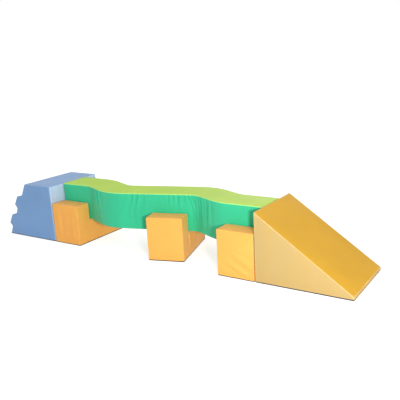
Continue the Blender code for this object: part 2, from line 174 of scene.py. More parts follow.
CENTRE_SIDE_CREASES = (
    (150, 195, 170, 20, 6.0, 9), (205, 195, 226, 20, -6.0, 10), (270, 195, 288, 20, 6.5, 10),
    (335, 195, 348, 20, -6.0, 10), (400, 195, 408, 20, 6.0, 10),
)

# Their form: where along their length they peak, how they widen, and the softer wave along both flanks
SEAM_PEAK = 0.12
FREE_PEAK = 0.5
LOW_PEAK = 0.32
SPREAD = 1.4
DEEPEST = 0.0034
FLANK_HEIGHT = 0.55
FLANK_AWAY = 1.5
FLANK_WIDTH = 0.8
CREASE_CELL = 0.008

# Each saddle: its name, its seed, and the creases on its front and on its right side
SADDLES = (
    ("saddle_left", 11, LEFT_FRONT_CREASES, ()),
    ("saddle_centre", 12, (), CENTRE_SIDE_CREASES),
    ("saddle_right", 13, RIGHT_FRONT_CREASES, ()),
)

# Edges and seams
EDGE_ROUND = 0.007
EDGE_SINK = 0.0012
CORNER_SINK = 1.4
# width of the lighter band along outward edges: rubbed wear and a painted highlight
RUB_HIGHLIGHT_WIDTH = 0.0055
FOLD_BRIDGE = 0.0025
SEAM_DEPTH = 0.0008
SEAM_WIDTH = 0.0020
WELT_RISE = 0.0006
WELT_AWAY = 0.0060
WELT_WIDTH = 0.0028
# height of the dark band painted round a cover's foot: painted contact shadow in the sole's colour
FOOT_SHADOW_HEIGHT = 0.0070
# depth of the lime band painted below the beam's top edge, lighter than the lime top: a painted highlight
# along the edge
TOP_HIGHLIGHT_BAND = 0.0065
PUCKER_HEIGHT = 0.0008
PUCKER_SPACING = 0.021
PUCKER_REACH = 0.020
RIPPLES = ((1.0, 1.0), (0.63, 0.8), (1.7, 0.4))

# Foam blocks
FOAM_VOXEL = 0.009
FOAM_INSET = 0.0055
FOAM_RELIEF = 0.0006

# Zips
ZIP_SLOT = 0.009
ZIP_SLOT_END = 0.002
ZIP_END = 0.004
TAPE_WIDTH = 0.026
TAPE = 0.0008
TOOTH_PITCH = 0.0016
TOOTH_LENGTH = 0.0031
TOOTH_RADIUS = 0.0006
CHANNEL = 0.0018
STOP_WIDTH = 0.0076
STOP_LENGTH = 0.0032

# Stitches and sole studs
STITCH_PITCH = 0.0042
STITCH_LENGTH = 0.0030
STITCH_THICKNESS = 0.0007
STITCH_AWAY = 0.0035
STUD_PITCH = 0.020
STUD_RADIUS = 0.0035
STUD_HEIGHT = 0.0004
STUD_TAPER = 0.8

# Colours (linear)
BLUE = (0.170, 0.333, 0.605)
# paler blue painted on the climber's end panel: painted sheen, a painted reflection of bright surroundings
PAINTED_SHEEN_BLUE = (0.55, 0.66, 0.88)
ORANGE = (0.95, 0.45, 0.098)
# lighter orange for outward edges: rubbed wear and painted highlight
ORANGE_RUB_HIGHLIGHT = (1.0, 0.56, 0.15)
YELLOW = (0.625, 0.337, 0.016)
# lighter yellow for outward edges: rubbed wear and painted highlight
YELLOW_RUB_HIGHLIGHT = (0.92, 0.74, 0.42)
# paler yellow painted on the ramp's two side panels: painted sheen of strong light on them
PAINTED_SHEEN_YELLOW = (0.52, 0.370, 0.150)
GREEN = (0.039, 0.540, 0.281)
LIME = (0.47, 0.69, 0.085)
# lighter lime for outward edges: rubbed wear and painted highlight
LIME_RUB_HIGHLIGHT = (0.62, 0.95, 0.220)
# lighter lime painted in a band below the beam's top edge: painted highlight
LIME_PAINTED_HIGHLIGHT = (0.52, 0.95, 0.200)
SOLE_GREY = (0.035, 0.035, 0.038)
FOAM_CREAM = (0.74, 0.69, 0.54)
NYLON_BLACK = (0.028, 0.028, 0.031)
ZINC = (0.60, 0.60, 0.61)

# Finishes: sizes of their patterns, and the span that nearly all noise lies in
GRAIN_SIZE = 0.0011
SCRIM_PITCH = 0.0012
NYLON_PITCH = 0.0008
WAVE_PER_METRE = 0.31416
CLOUD_SIZE = 0.30
MOTTLE_SIZE = 0.025
SCUFF_SIZE = 0.05
SHINE_PATCH = 0.11
STREAK_WIDTH = 0.02
STREAK_SQUASH = 0.08
SOFT_RELIEF = 0.006
FOAM_PATCH = 0.08
NYLON_FUZZ = 0.004
CAST_GRAIN = 0.002
ZINC_RUB = 0.009
PORES_PER_METRE = 650.0
DIMPLES_PER_METRE = 260.0
NOISE_SPAN = (0.3, 0.7)

# Light: name, place, target, size and power of each panel, and whether it shows in gloss
LIGHTS = (
    ("key_panel", (2.86, -2.77, 1.15), (0.1, -0.1, 0.25), (0.35, 0.35), 106.0, False),
    ("back_fill", (-0.8, 4.2, 1.7), (0.0, 0.0, 0.25), (2.6, 1.4), 45.0, True),
)

# The studio around them
ROOM_LIGHT = 0.77
FLOOR_REACH = 30.0
FLOOR_WHITE = 0.62
FLOOR_LIFT = 0.62


# Where the modules stand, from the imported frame

def joint(name):
    return next(each for each in frame["joints"] if each["name"] == name)


def module_place(body, length):
    """From a module's own frame, whose origin is its front left foot, to the row."""
    low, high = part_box(f"{body}_sole")
    along = joint(f"{body}_zip_run")["axis"]
    turn = Matrix.Rotation(math.atan2(along[1], along[0]), 4, "Z")
    middle = (low + high) / 2
    middle.z = 0.0
    return Matrix.Translation(middle) @ turn @ Matrix.Translation((-length / 2, -MODULE_DEPTH / 2, 0))


def beam_place():
    """From the beam's own frame, whose origin is under the middle of its left end, to the row."""
    low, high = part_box("beam_underside")
    return Matrix.Translation((low.x - SOLE_INSET, (low.y + high.y) / 2, low.z))


def zip_place(body):
    """From a zip's own frame (x along it, y out of the cover, z across) to the row, and the zip's length."""
    run = joint(f"{body}_zip_run")
    hinge = joint(f"{body}_pull_flap")
    along = Vector(run["axis"])
    out = Vector((0, 0, -1)) if body == "beam" else Vector((-along.y, along.x, 0))
    start = Vector(hinge["pos_m"]) - out * HINGE_RISE - along * SLIDER_REST
    turn = Matrix((along, out, along.cross(out))).transposed().to_4x4()
    return Matrix.Translation(start) @ turn, run["range_m"][1] + 2 * SLIDER_REST


# Covers cut out as flat panels

def grid_lines(edges, plain=(), cell=CELL, fine=FINE_LINES):
    """Places of the grid's lines: at edges and plain marks, close together beside an edge, even elsewhere."""
    marks = sorted({*edges, *plain})
    lines = list(marks)
    for near in sorted(edge + side * away for edge in edges for away in fine for side in (-1, 1)):
        if marks[0] < near < marks[-1] and min(abs(near - line) for line in lines) > LEAST_CELL:
            lines.append(near)
    lines.sort()
    filled = []
    for low, high in zip(lines, lines[1:]):
        count = max(1, round((high - low) / cell))
        filled += [low + (high - low) * step / count for step in range(count)]
    return filled + [lines[-1]]


def cut_panel(outline, columns, rows, slants=()):
    """A flat panel cut into cells: its points, its faces and the loop of points round its edge.

    Each slant is one more cut: a point on it, and its normal.
    """
    bm = bmesh.new()
    bm.faces.new([bm.verts.new((across, up, 0.0)) for across, up in outline])
    cuts = [(way * value, way) for way, values in ((Vector((1, 0, 0)), columns), (Vector((0, 1, 0)), rows))
            for value in values]
    for on_cut, way in [*cuts, *slants]:
        everything = bm.verts[:] + bm.edges[:] + bm.faces[:]
        bmesh.ops.bisect_plane(bm, geom=everything, dist=CUT_TOLERANCE, plane_co=on_cut, plane_no=way)
    bm.verts.index_update()
    points = [vert.co.xy.copy() for vert in bm.verts]
    faces = [[vert.index for vert in face.verts] for face in bm.faces]
    following = {}
    for edge in bm.edges:
        if edge.is_boundary:
            corner = edge.link_loops[0]
            following[corner.vert.index] = corner.link_loop_next.vert.index
    loop = [0]
    while following[loop[-1]] != loop[0]:
        loop.append(following[loop[-1]])
    bm.free()
    return points, faces, loop


SIDE_VIEW = Matrix(((1, 0, 0), (0, 0, 1), (0, 1, 0)))
END_VIEW = Matrix(((0, 0, 1), (1, 0, 0), (0, 1, 0)))


def as_mesh(bm, mesh=None):
    mesh = mesh or bpy.data.meshes.new("cut")
    bm.to_mesh(mesh)
    bm.free()
    return mesh


def block_mesh(panel, levels, view, part_of, bend=None):
    """A closed block between two like end panels, with a band of cells round it.

    Each vertex keeps its place in the unbent block as its pattern. part_of says which part a face is in,
    from its middle in the pattern.
    """
    points, faces, loop = panel
    bm = bmesh.new()
    pattern = bm.verts.layers.float_vector.new("pattern")
    part = bm.faces.layers.int.new("part")

    def vertex(index, level):
        made = bm.verts.new(view @ Vector((*points[index], level)))
        made[pattern] = made.co
        return made

    near = [vertex(index, levels[0]) for index in range(len(points))]
    far = [vertex(index, levels[-1]) for index in range(len(points))]
    rings = [[near[index] for index in loop]]
    rings += [[vertex(index, level) for index in loop] for level in levels[1:-1]]
    rings.append([far[index] for index in loop])
    for face in faces:
        bm.faces.new([near[index] for index in reversed(face)])
        bm.faces.new([far[index] for index in face])
    for lower, upper in zip(rings, rings[1:]):
        for here in range(len(loop)):
            after = (here + 1) % len(loop)
            bm.faces.new((lower[here], lower[after], upper[after], upper[here]))
    bmesh.ops.recalc_face_normals(bm, faces=bm.faces)
    bm.normal_update()
    for face in bm.faces:
        face[part] = part_of(face.calc_center_median(), face.normal)
    if bend:
        for vert in bm.verts:
            vert.co = bend(vert.co)
    return as_mesh(bm)


def block_folds(outline, low, high, view, unsewn=()):
    """The lines where a block's cover turns: start, end, whether the foam pushes out, whether it is sewn."""
    folds = []
    for index, corner in enumerate(outline):
        before, after = Vector(outline[index - 1]), Vector(outline[(index + 1) % len(outline)])
        here = Vector(corner)
        outward = (here - before).cross(after - here) > 0
        ends = [view @ Vector((*corner, level)) for level in (low, high)]
        folds.append((*ends, outward, index not in unsewn))
        for level in (low, high):
            folds.append((view @ Vector((*corner, level)), view @ Vector((*after, level)), True, True))
    return folds


# Reading and moving vertices

def read(mesh, attribute):
    values = np.empty(len(mesh.vertices) * 3)
    mesh.attributes[attribute].data.foreach_get("vector", values)
    return values.reshape(-1, 3)


def move(mesh, points):
    mesh.vertices.foreach_set("co", points.ravel())
    mesh.update()


def normals(mesh):
    values = np.empty(len(mesh.vertices) * 3)
    mesh.vertex_normals.foreach_get("vector", values)
    return values.reshape(-1, 3)


def bell(distance, width):
    return np.exp(-((distance / width) ** 2))


def from_line(points, start, end):
    """Each point's distance from the line between start and end, and how far along it that is."""
    start, way = np.array(start), np.array(end) - np.array(start)
    length = np.linalg.norm(way)
    along = np.clip((points - start) @ way / length, 0.0, length)
    return np.linalg.norm(points - start - along[:, None] * way / length, axis=1), along


def ripple(places, spacing, seed):
    """Smooth uneven waves from -1 to 1, with about the given spacing. RIPPLES has their paces and shares."""
    phases = np.random.default_rng(seed).uniform(0.0, 2 * math.pi, len(RIPPLES))
    waves = [share * np.sin(2 * math.pi * places * pace / spacing + phase)
             for (pace, share), phase in zip(RIPPLES, phases)]
    return sum(waves) / sum(share for _, share in RIPPLES)


# Cloth simulation of a cover over its foam

def show(mesh, name="working_piece"):
    piece = bpy.data.objects.new(name, mesh)
    bpy.context.scene.collection.objects.link(piece)
    return piece


def evaluated_mesh(piece):
    """The piece's mesh with its modifiers in it, as a plain mesh. The piece itself is removed."""
    graph = bpy.context.evaluated_depsgraph_get()
    mesh = bpy.data.meshes.new_from_object(piece.evaluated_get(graph), depsgraph=graph)
    bpy.data.objects.remove(piece)
    return mesh


def settle_cover(mesh, folds, slack, seed):
    """Lets a cover that is cut a little too large for its foam settle over it. Its seams are tighter.

    It returns where each vertex settles, held to MOST_MOVE from its place and MOST_SWELL outwards.
    """
    rest = read(mesh, "position")
    outward = normals(mesh)
    foam = show(mesh.copy())
    move(foam.data, rest - outward * FOAM_GAP)
    foam.modifiers.new("foam", "COLLISION")
    foam.collision.thickness_outer = SETTLING_GAP
    foam.collision.cloth_friction = FOAM_FRICTION

    cover = show(mesh.copy())
    jitter = np.random.default_rng(seed).normal(0.0, SETTLING_JITTER, rest.shape)
    move(cover.data, rest + jitter)
    pattern = read(mesh, "pattern")
    on_seam = np.zeros(len(pattern), bool)
    for start, end, _, sewn in folds:
        if sewn:
            on_seam |= from_line(pattern, start, end)[0] < LEAST_CELL / 2
    seams = cover.vertex_groups.new(name="seams")
    seams.add(np.flatnonzero(on_seam).tolist(), 1.0, "REPLACE")

    cloth = cover.modifiers.new("cloth", "CLOTH")
    settings = cloth.settings
    settings.quality = SETTLING_QUALITY
    settings.mass = FABRIC_WEIGHT
    settings.tension_stiffness = settings.compression_stiffness = FABRIC_STRETCH
    settings.shear_stiffness = FABRIC_SHEAR
    settings.bending_stiffness = FABRIC_BEND
    settings.use_pressure = True
    settings.uniform_pressure_force = COVER_PRESSURE
    settings.shrink_min = -slack
    settings.shrink_max = slack / 3
    settings.vertex_group_shrink = "seams"
    settings.effector_weights.gravity = 0
    cloth.collision_settings.distance_min = SETTLING_GAP
    scene = bpy.context.scene
    for step in range(1, SETTLING_STEPS + 1):
        scene.frame_set(step)
    settled = evaluated_mesh(cover)
    moved = read(settled, "position") - rest
    bpy.data.objects.remove(foam)
    scene.frame_set(1)

    distance = np.linalg.norm(moved, axis=1, keepdims=True)
    moved *= MOST_MOVE * np.tanh(distance / MOST_MOVE) / np.maximum(distance, NEAR_ZERO)
    swell = np.sum(moved * outward, axis=1)
    held = np.where(swell > 0, MOST_SWELL * np.tanh(swell / MOST_SWELL), swell)
    return rest + moved + outward * (held - swell)[:, None]


def from_box(points, low, high):
    """Each point's distance from the box between two corners."""
    low, high = np.array(low), np.array(high)
    return np.linalg.norm(np.maximum(np.maximum(low - points, points - high), 0.0), axis=1)


def hold_at(points, rest, pattern, boxes):
    """Keeps the cover at rest in and around the boxes, such as a zip's slot."""
    share = np.ones(len(points))
    for low, high in boxes:
        share *= np.clip(from_box(pattern, low, high) / HOLD_REACH - HOLD_CLEAR, 0.0, 1.0)
    return rest + (points - rest) * share[:, None]


def hold_seams(points, rest, pattern, folds):
    """Lets the cover move less towards its seams and folds, which stay almost straight."""
    nearest = np.min([from_line(pattern, start, end)[0] for start, end, *_ in folds], axis=0)
    share = 1.0 - (1.0 - SEAM_HOLD) * bell(nearest, SEAM_HOLD_REACH)
    return rest + (points - rest) * share[:, None]


# Seams, puckers and creases

def work_edges(points, outward, pattern, folds):
    """Rounds the cover over the foam's edges, draws in its seams, and puckers the fabric beside them.

    It returns the new points, how deep in a seam each is, and how near an outward edge, both from 0 to 1; the
    fabric darkens the seams as painted shade and lightens the edges as wear and painted highlight.
    """
    shift = np.zeros(len(points))
    seam = np.zeros(len(points))
    rub_and_highlight = np.zeros(len(points))
    nearest = np.full(len(points), np.inf)
    pucker = np.zeros(len(points))
    for number, (start, end, foam_out, sewn) in enumerate(folds):
        distance, along = from_line(pattern, start, end)
        in_base = max(start[2], end[2]) < FLOOR_GAP + REST_GAP
        share = np.clip(1.0 - distance / EDGE_ROUND, 0.0, None) ** 2
        if not in_base:
            shift += share * (-EDGE_SINK if foam_out else FOLD_BRIDGE)
        if foam_out:
            rub_and_highlight = np.maximum(rub_and_highlight, bell(distance, RUB_HIGHLIGHT_WIDTH))
        if not sewn:
            continue
        seam = np.maximum(seam, bell(distance, SEAM_WIDTH))
        closer = distance < nearest
        nearest = np.where(closer, distance, nearest)
        pucker = np.where(closer, ripple(along, PUCKER_SPACING, number), pucker)
    rise = bell(nearest - WELT_AWAY, WELT_WIDTH) * WELT_RISE - seam * SEAM_DEPTH
    reach = nearest / PUCKER_REACH
    rise += pucker * PUCKER_HEIGHT * reach * np.exp(1.0 - 2.0 * reach)
    return points + outward * (np.maximum(shift, -CORNER_SINK * EDGE_SINK) + rise)[:, None], seam, rub_and_highlight


def in_metres(creases):
    """Each crease as its upper end, its lower end, its height and its width."""
    rows = [[size / PER_METRE for size in crease] for crease in creases]
    return [((top, high), (foot, low), height, width) for top, high, foot, low, height, width in rows]


def on_plane(pattern, axis, level):
    """Which points are on a block's side: the plane where the pattern's axis is at the level."""
    return np.abs(pattern[:, axis] - level) < FLOOR_GAP


def press_creases(points, outward, pattern, axis, level, creases, peak):
    """Works creases into one side of a cover: ridges or valleys with a softer wave along both flanks."""
    side = on_plane(pattern, axis, level)
    places = pattern[:, [1 - axis, 2]]
    shift = np.zeros(len(points))
    for upper, lower, height, width in creases:
        distance, along = from_line(places, upper, lower)
        share = along / math.dist(upper, lower)
        spread = width * (1.0 + SPREAD * share)
        fade = np.sin(math.pi * share ** (math.log(0.5) / math.log(peak)))
        flank = FLANK_HEIGHT * bell(distance - FLANK_AWAY * spread, FLANK_WIDTH * spread)
        shift += height * fade * (bell(distance, spread) - flank)
    shift = np.maximum(shift, DEEPEST * np.tanh(shift / DEEPEST))
    return points + outward * (shift * side)[:, None]


def store(mesh, name, values):
    values = np.zeros(len(mesh.vertices)) + values
    mesh.attributes.new(name, "FLOAT", "POINT").data.foreach_set("value", values)


def make_cover(outline, panel, levels, view, part_of, slack, seed, room, bend=None, unsewn=(), held=(),
               creased=(), shadowed_foot=True, painted_light_mask=None):
    """From flat panels to a used-looking cover: settled over its foam, subdivided, its seams and creases
    worked in.

    Each creased side is given by its plane's axis and level, its creases and where they peak. A cover flagged
    for it has the sole's dark colour painted round its foot as painted contact shadow. The last argument
    tells which of its points have a paler colour painted on, as painted sheen and highlight.
    """
    mesh = block_mesh(panel, levels, view, part_of, bend)
    folds = block_folds(outline, levels[0], levels[-1], view, unsewn)
    pattern = read(mesh, "pattern")
    rest = read(mesh, "position")
    settled = settle_cover(mesh, folds, slack, seed)
    settled = hold_seams(settled, rest, pattern, folds)
    move(mesh, hold_at(settled, rest, pattern, held))
    piece = show(mesh)
    smooth = piece.modifiers.new("smooth", "SUBSURF")
    smooth.levels = smooth.render_levels = 1
    mesh = evaluated_mesh(piece)
    points, outward, pattern = read(mesh, "position"), normals(mesh), read(mesh, "pattern")
    worked, seam, rub_and_highlight = work_edges(points, outward, pattern, folds)
    for side in creased:
        worked = press_creases(worked, outward, pattern, *side)
    move(mesh, room(hold_at(worked, points, pattern, held), pattern))
    store(mesh, "seam", seam)
    store(mesh, "rub_and_highlight", rub_and_highlight)
    # a dark band painted round the foot: painted contact shadow
    store(mesh, "painted_foot_shadow", shadowed_foot * (pattern[:, 2] < FOOT_SHADOW_HEIGHT))
    # where a paler colour is painted on: painted sheen and highlight
    store(mesh, "painted_light", painted_light_mask(pattern) if painted_light_mask else 0.0)
    return mesh


def thicken(mesh, thickness):
    """The sheet with its thickness, which grows inwards."""
    piece = show(mesh)
    wall = piece.modifiers.new("thickness", "SOLIDIFY")
    wall.thickness = thickness
    wall.offset = -1.0
    return evaluated_mesh(piece)


def off_floor(points):
    points[:, 2] = np.maximum(points[:, 2], REST_GAP)
    return points


def take_part(cover, number):
    """One part of a cover, with its thickness."""
    bm = bmesh.new()
    bm.from_mesh(cover)
    part = bm.faces.layers.int["part"]
    others = [face for face in bm.faces if face[part] != number]
    bmesh.ops.delete(bm, geom=others, context="FACES")
    mesh = thicken(as_mesh(bm), COVER)
    move(mesh, off_floor(read(mesh, "position")))
    return mesh


# The four kinds of block

KEPT, TOP_PANEL, CUT_OUT = 0, 1, 2


def zip_slot(body, place):
    """The slot that the zip leaves in a module's back, as a box in the module's own frame."""
    zipped, length = zip_place(body)
    start = (place.inverted() @ zipped).translation
    low = (start.x + ZIP_SLOT_END, MODULE_DEPTH, start.z - ZIP_SLOT / 2)
    return low, (start.x + length - ZIP_SLOT_END, MODULE_DEPTH, start.z + ZIP_SLOT / 2)


def parts_of_module(length, slot):
    """Which faces of a module's block are kept: all but the inside of the base and the zip's slot."""
    low, high = slot

    def part_of(middle, normal):
        in_base = LIP < middle.x < length - LIP and LIP < middle.y < MODULE_DEPTH - LIP
        if normal.z < -FLAT_ENOUGH and middle.z < 2 * FLOOR_GAP and in_base:
            return CUT_OUT
        in_slot = low[0] < middle.x < high[0] and low[2] < middle.z < high[2]
        return CUT_OUT if middle.y > MODULE_DEPTH - FLOOR_GAP and in_slot else KEPT
    return part_of


def on_floor(points, pattern):
    """The base of a cover stays flat on what it stands on."""
    base = pattern[:, 2] < FLOOR_GAP + REST_GAP
    points[base, 2] = FLOOR_GAP
    return off_floor(points)


def under_seat(points, pattern):
    """The saddle's cover keeps off the floor, and stays down where the beam rests on it."""
    inside = np.abs(pattern[:, 1] - MODULE_DEPTH / 2) < MODULE_DEPTH / 2 - SADDLE_WALL - FLOOR_GAP
    seat = inside & (pattern[:, 2] > SADDLE_SEAT - FLOOR_GAP)
    points[seat, 2] = np.minimum(points[seat, 2], SADDLE_SEAT - REST_GAP)
    return on_floor(points, pattern)


def climber_end(up):
    """Where the climbing block's leaning end is, at the given height."""
    return CLIMBER_LENGTH + (CLIMBER_TOP_END - CLIMBER_LENGTH) * up / CLIMBER_HEIGHT


def climber_panel(slot):
    """The climbing block's side panel, cut in rows from the climbing face to the upright face."""
    heights = [up for _, up in CLIMBING_FACE]
    steps = [math.dist(before, after) for before, after in zip(CLIMBING_FACE, CLIMBING_FACE[1:])]
    travelled = [sum(steps[:count]) for count in range(len(CLIMBING_FACE))]
    starts = [along for along, _ in CLIMBING_FACE]

    def shape(point):
        up = np.interp(point.y, travelled, heights)
        start = np.interp(point.y, travelled, starts)
        return Vector((start + (climber_end(up) - start) * point.x / CLIMBER_LENGTH, up))

    low, high = slot
    slot_rows = [float(np.interp(up, heights, travelled)) for up in (low[2], high[2])]
    middle = (low[2] + high[2]) / 2
    start = np.interp(middle, heights, starts)
    slot_columns = [float((x - start) / (CLIMBER_LENGTH - start) * CLIMBER_LENGTH) for x in (low[0], high[0])]
    columns = grid_lines((0.0, CLIMBER_LENGTH), slot_columns, WIDE_CELL)
    rows = grid_lines(travelled, slot_rows, WIDE_CELL, NARROW_FINE_LINES)
    flat = [(0.0, 0.0), (CLIMBER_LENGTH, 0.0), (CLIMBER_LENGTH, travelled[-1]), (0.0, travelled[-1])]
    points, faces, loop = cut_panel(flat, columns, rows)
    return [shape(point) for point in points], faces, loop


def climber_cover(slot, seed):
    outline = [(0.0, FLOOR_GAP), (CLIMBER_LENGTH, FLOOR_GAP), (CLIMBER_TOP_END, CLIMBER_HEIGHT)]
    outline += reversed(CLIMBING_FACE[1:])
    levels = grid_lines((0.0, MODULE_DEPTH), cell=WIDE_CELL)
    part_of = parts_of_module(CLIMBER_LENGTH, slot)

    # the end panel gets the paler blue painted on: painted sheen
    def end_panel(pattern):
        return pattern[:, 0] > climber_end(pattern[:, 2]) - FLOOR_GAP
    return make_cover(outline, climber_panel(slot), levels, SIDE_VIEW, part_of, CLIMBER_SLACK, seed, on_floor,
                      unsewn=range(4, len(outline)), held=(slot,), painted_light_mask=end_panel)


def saddle_cover(slot, seed, front_creases, side_creases):
    low, high = slot
    far_wall = MODULE_DEPTH - SADDLE_WALL
    outline = [
        (0.0, FLOOR_GAP), (MODULE_DEPTH, FLOOR_GAP), (MODULE_DEPTH, SADDLE_HEIGHT),
        (far_wall, SADDLE_HEIGHT), (far_wall, SADDLE_SEAT), (SADDLE_WALL, SADDLE_SEAT),
        (SADDLE_WALL, SADDLE_HEIGHT), (0.0, SADDLE_HEIGHT),
    ]
    columns = grid_lines((0.0, SADDLE_WALL, far_wall, MODULE_DEPTH))
    rows = grid_lines((FLOOR_GAP, SADDLE_SEAT, SADDLE_HEIGHT), (low[2], high[2]))
    levels = grid_lines((0.0, SADDLE_LENGTH), (low[0], high[0]))
    front = (1, 0.0, in_metres(front_creases), FREE_PEAK)
    right = (0, SADDLE_LENGTH, in_metres(side_creases), LOW_PEAK)
    return make_cover(outline, cut_panel(outline, columns, rows), levels, END_VIEW,
                      parts_of_module(SADDLE_LENGTH, slot), SADDLE_SLACK, seed, under_seat,
                      held=(slot,), creased=(front, right))


def ramp_cover(slot, seed):
    low, high = slot
    fall = (RAMP_HEIGHT - RAMP_TOE) / RAMP_LENGTH
    columns = grid_lines((0.0, RAMP_LENGTH), cell=WIDE_CELL)
    rows = [RAMP_HEIGHT - along * fall for along in columns[1:-1]]
    rows = [up for up in rows if up > RAMP_TOE + LEAST_CELL]
    rows += [FLOOR_GAP + line for line in FINE_LINES] + [low[2], high[2]]
    outline = [(0.0, FLOOR_GAP), (RAMP_LENGTH, FLOOR_GAP), (RAMP_LENGTH, RAMP_TOE), (0.0, RAMP_HEIGHT)]
    across = Vector((fall, 1, 0)).normalized()
    beside = [(Vector((0, RAMP_HEIGHT, 0)) - across * away, across) for away in FINE_LINES[:2]]
    panel = cut_panel(outline, columns + [low[0], high[0]], rows, beside)
    levels = grid_lines((0.0, MODULE_DEPTH), cell=WIDE_CELL)

    # both side panels get the paler yellow painted on: painted sheen
    def side_panels(pattern):
        return on_plane(pattern, 1, 0.0) | on_plane(pattern, 1, MODULE_DEPTH)
    return make_cover(outline, panel, levels, SIDE_VIEW, parts_of_module(RAMP_LENGTH, slot), RAMP_SLACK, seed,
                      on_floor, held=(slot,), painted_light_mask=side_panels)


# The wavy beam

def beam_stretches():
    """The beam's middle line as straight and bent stretches: length, start, heading and curvature of each."""
    offset = BEAM_STEP / 2
    half = [(0.0, offset), (BEND_OUTER, offset), (BEND_INNER, -BEND_SWING)]
    corners = [Vector(corner) for corner in half]
    corners += [Vector((BEAM_LENGTH - along, -across)) for along, across in reversed(half)]
    stretches, here = [], corners[0]
    for before, corner, after in zip(corners, corners[1:], corners[2:]):
        arriving, leaving = (corner - before).normalized(), (after - corner).normalized()
        angle = math.atan2(arriving.y, arriving.x)
        turn = math.atan2(arriving.cross(leaving), arriving.dot(leaving))
        reach = BEND_RADIUS * math.tan(abs(turn) / 2)
        bend_start = corner - arriving * reach
        stretches.append(((bend_start - here).length, here, angle, 0.0))
        stretches.append((BEND_RADIUS * abs(turn), bend_start, angle, math.copysign(1 / BEND_RADIUS, turn)))
        here = corner + leaving * reach
    stretches.append(((corners[-1] - here).length, here, 0.0, 0.0))
    return stretches


BEAM_STRETCHES = beam_stretches()
BEAM_RUN = sum(length for length, *_ in BEAM_STRETCHES)


def on_beam(point):
    """From along, across and up the straightened beam to the beam's own frame."""
    along, across, up = point
    for length, start, angle, curve in BEAM_STRETCHES:
        if along <= length:
            break
        along -= length
    else:
        along += length
    if curve:
        turned = angle + along * curve
        arc = Vector((math.sin(turned) - math.sin(angle), math.cos(angle) - math.cos(turned)))
        place = start + arc / curve
    else:
        turned = angle
        place = start + Vector((math.cos(angle), math.sin(angle))) * along
    return Vector((place.x - math.sin(turned) * across, place.y + math.cos(turned) * across, up))


def beam_front_run(x):
    """How far along the beam the front side has the given x in the beam's own frame."""
    runs = np.linspace(0.0, BEAM_RUN, BEAM_SAMPLES)
    return float(np.interp(x, [on_beam((run, -BEAM_WIDTH / 2, 0.0)).x for run in runs], runs))


def creased_runs(creases):
    """Closer grid lines for the stretches of the beam that have creases."""
    runs = set()
    for (top, _), (foot, _), _, width in creases:
        low, high = min(top, foot) - 2 * width, max(top, foot) + 2 * width
        runs |= {round(step) for step in np.arange(low, high, CREASE_CELL) / CREASE_CELL}
    return [run * CREASE_CELL for run in runs]


def beam_cover(seed):
    side = BEAM_WIDTH / 2
    outline = [(-side, FLOOR_GAP), (side, FLOOR_GAP), (side, BEAM_HEIGHT), (-side, BEAM_HEIGHT)]
    columns = grid_lines((-side, side))
    rows = grid_lines((FLOOR_GAP, BEAM_HEIGHT))
    creases = [((beam_front_run(top), high), (beam_front_run(foot), low), *sizes)
               for (top, high), (foot, low), *sizes in in_metres(BEAM_CREASES)]
    levels = grid_lines((0.0, BEAM_RUN), creased_runs(creases))

    def part_of(middle, normal):
        if normal.z > FLAT_ENOUGH:
            return TOP_PANEL
        in_base = LIP < middle.x < BEAM_RUN - LIP and abs(middle.y) < side - LIP
        return CUT_OUT if normal.z < -FLAT_ENOUGH and in_base else KEPT

    # a band below the top edge gets the lighter lime painted on: painted highlight along the edge
    def top_highlight_band(pattern):
        return pattern[:, 2] > BEAM_HEIGHT - TOP_HIGHLIGHT_BAND
    return make_cover(outline, cut_panel(outline, columns, rows), levels, END_VIEW, part_of, BEAM_SLACK, seed,
                      on_floor, bend=on_beam, creased=((1, -side, creases, SEAM_PEAK),), shadowed_foot=False,
                      painted_light_mask=top_highlight_band)


def slotted_sheet(outline, columns, rows, slot, thickness):
    """A flat sheet in x and y with a slot cut in it, from z = 0 up."""
    points, faces, _ = cut_panel(outline, columns, rows)
    bm = bmesh.new()
    verts = [bm.verts.new((*point, 0.0)) for point in points]
    for face in faces:
        made = bm.faces.new([verts[index] for index in reversed(face)])
        middle = made.calc_center_median()
        if slot[0][0] < middle.x < slot[1][0] and slot[0][1] < middle.y < slot[1][1]:
            bm.faces.remove(made)
    bmesh.ops.delete(bm, geom=[vert for vert in bm.verts if not vert.link_faces], context="VERTS")
    return thicken(as_mesh(bm), thickness)


def beam_underside(place):
    side = BEAM_WIDTH / 2 - SOLE_INSET
    runs = np.linspace(SOLE_INSET, BEAM_RUN - SOLE_INSET, UNDERSIDE_POINTS)
    outline = [on_beam((run, -side, 0.0)).xy for run in runs]
    outline += [on_beam((run, side, 0.0)).xy for run in runs[::-1]]
    zipped, length = zip_place("beam")
    start = (place.inverted() @ zipped).translation
    slot = ((start.x + ZIP_SLOT_END, start.y - ZIP_SLOT / 2),
            (start.x + length - ZIP_SLOT_END, start.y + ZIP_SLOT / 2))
    columns = grid_lines((slot[0][0], slot[1][0]), (0.0, BEAM_LENGTH), WIDE_CELL, ())
    rows = grid_lines((slot[0][1], slot[1][1]), (-BEAM_WIDTH, BEAM_WIDTH), WIDE_CELL, ())
    return slotted_sheet(outline, columns, rows, slot, SOLE_THICKNESS)


# Foam blocks

